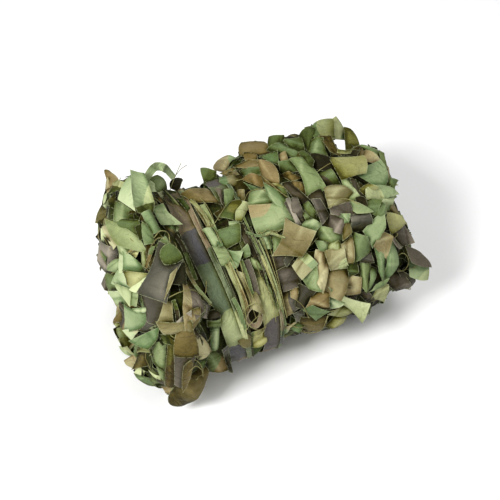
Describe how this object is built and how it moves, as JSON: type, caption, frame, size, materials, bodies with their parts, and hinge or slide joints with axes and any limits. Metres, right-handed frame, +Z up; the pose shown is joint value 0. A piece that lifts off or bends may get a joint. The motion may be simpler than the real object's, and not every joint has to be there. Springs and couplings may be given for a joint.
{
  "type": "rolled camouflage net",
  "caption": "Leaf-cut woodland camouflage net rolled into a bundle, its waist drawn in by narrow cloth bands and a thin cord.",
  "frame": {"origin": "middle of the footprint on the ground, under the bundle", "axes": "+X along the roll towards its longer, fuller end, +Y to its back, +Z up"},
  "size_m": [0.3724, 0.2836, 0.2367],
  "materials": {
    "net": "woodland-dyed polyester cloth, cut into leaves and curled, soft satin face",
    "band": "strip of the same dyed cloth folded flat, soft satin face",
    "cord": "thin twisted olive cord, dull"
  },
  "bodies": {
    "root": {"net_roll": "net", "band_left": "band", "band_right": "band", "tie_cord": "cord", "tie_loop": "band"}
  },
  "joints": []
}
